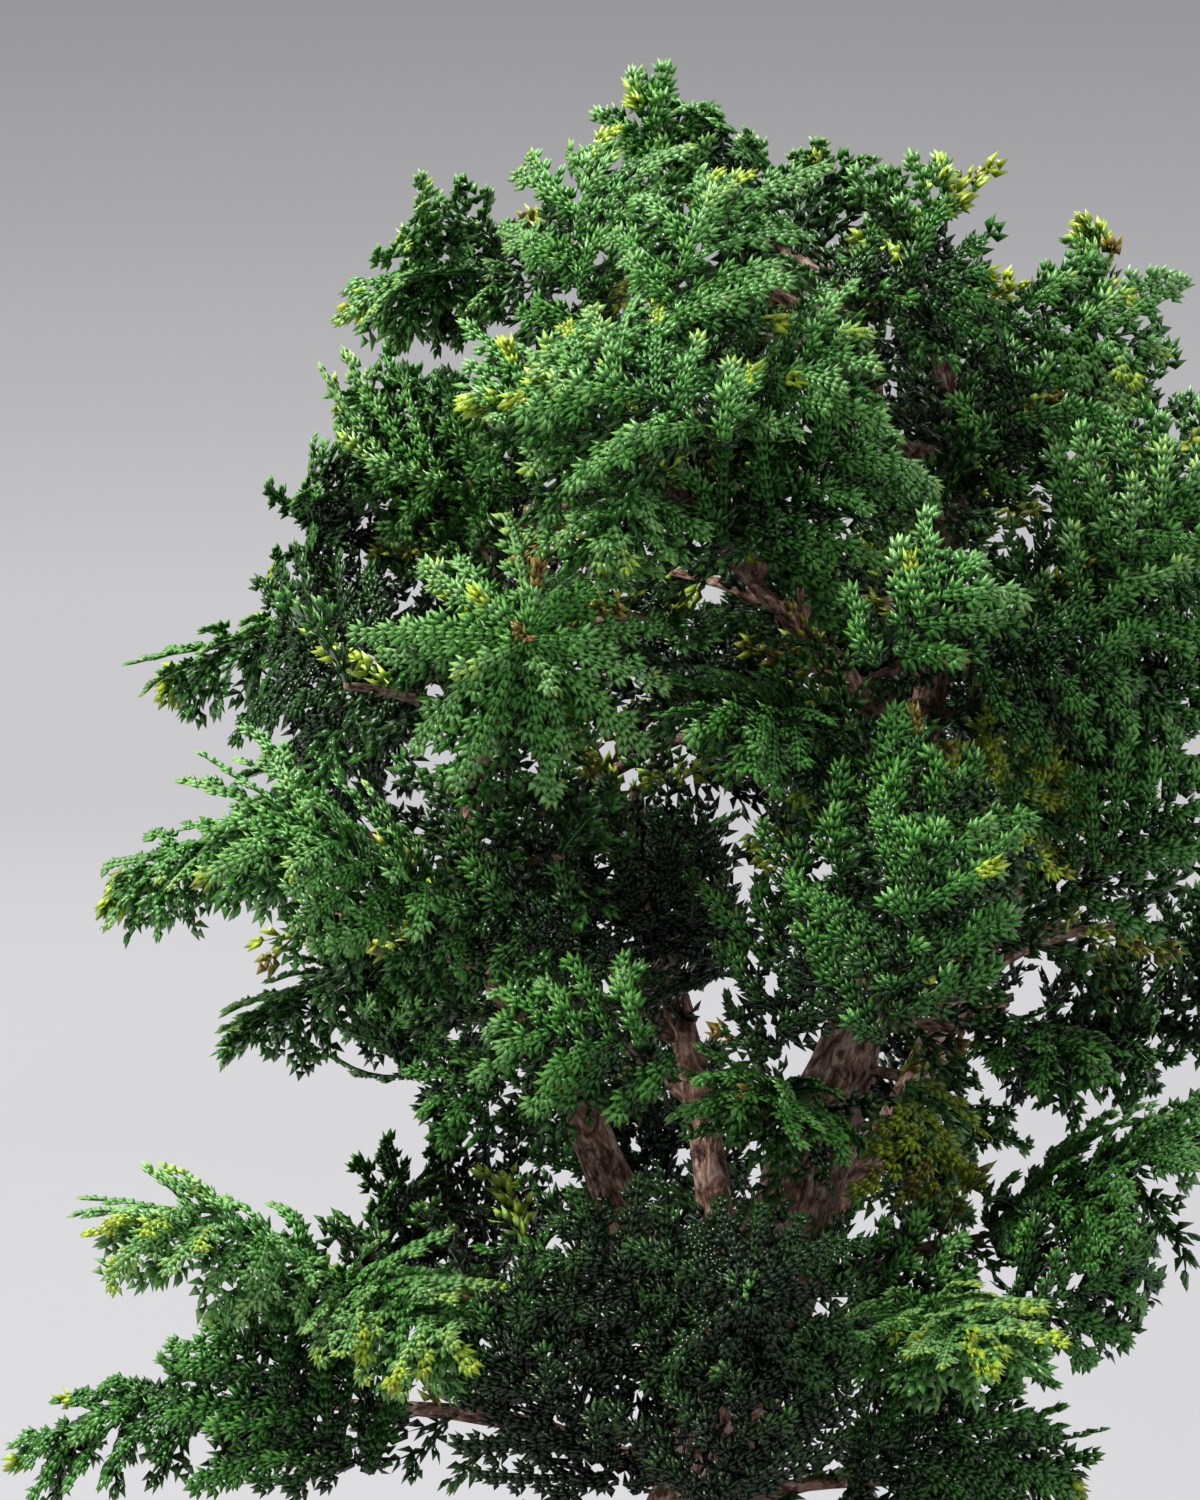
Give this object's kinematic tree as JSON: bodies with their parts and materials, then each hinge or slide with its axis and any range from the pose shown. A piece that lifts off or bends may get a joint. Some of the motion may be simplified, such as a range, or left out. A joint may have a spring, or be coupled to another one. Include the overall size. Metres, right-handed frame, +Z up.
{
  "type": "hinoki cypress bonsai",
  "caption": "Small slanting hinoki cypress bonsai with fan-shaped scale-leaf sprays, rooted in soil in a plain oval unglazed clay pot on short feet.",
  "frame": {"origin": "in the plane that the pot's feet stand on, under the middle of the whole plant's bounding box", "axes": "+Z up along the tree's height; +X along the pot's long side, towards which the trunk leans; -Y is the front"},
  "size_m": [0.1698, 0.1282, 0.249],
  "materials": {
    "clay": "plain unglazed stoneware clay, matte, fine sand in the surface",
    "plastic": "black moulded plastic mesh",
    "soil": "damp granular bonsai soil with moss",
    "bark": "reddish brown fibrous bark, grey-pink where it is worn, smoother on twigs",
    "green": "deep green scale leaves with a soft waxy sheen, lighter at the tips",
    "olive": "older inner leaves, olive to yellow-brown, dull"
  },
  "bodies": {
    "root": {"pot": "clay", "drain_screen_left": "plastic", "drain_screen_right": "plastic", "soil": "soil", "wood": "bark", "foliage_apex": "green", "foliage_crown_left": "green", "foliage_crown_centre": "green", "foliage_crown_front": "green", "foliage_crown_back": "green", "foliage_crown_sprig": "green", "foliage_crown_right": "green", "foliage_right_top": "green", "foliage_right_upper": "green", "foliage_right_far": "green", "foliage_right_shoulder": "green", "foliage_right_out": "green", "foliage_right_arm": "green", "foliage_front_tip": "green", "foliage_front_face": "green", "foliage_front_fan": "green", "foliage_mid_front": "green", "foliage_upper_centre": "green", "foliage_back_left_top": "green", "foliage_back_left_mid": "green", "foliage_back_left_arm": "green", "foliage_left_pad": "green", "foliage_rosette": "green", "foliage_left_fan": "green", "foliage_left_far": "green", "foliage_left_low_pad": "green", "foliage_stem_low": "green", "foliage_low_fan": "green", "foliage_stem_pad": "green", "foliage_centre_high": "green", "foliage_centre_face": "green", "foliage_centre_left": "green", "foliage_centre_right": "green", "foliage_mid_sprig": "green", "foliage_inner_pad": "green", "foliage_olive_column": "olive", "foliage_olive_hang": "olive", "foliage_right_pad": "green", "foliage_right_low": "green", "foliage_right_back": "green", "foliage_right_under": "green", "foliage_right_sprig": "green", "foliage_low_right_fan": "green", "foliage_low_left_fan": "green", "foliage_low_left_arm": "green", "foliage_low_left_pad": "green", "foliage_low_front_left": "green", "foliage_low_front_right": "green", "foliage_low_right_front": "green", "foliage_low_right_arm": "green", "foliage_rear_crown": "green", "foliage_rear_shoulder": "green", "foliage_rear_middle": "green", "foliage_rear_left": "green", "foliage_rear_low": "green"}
  },
  "joints": []
}
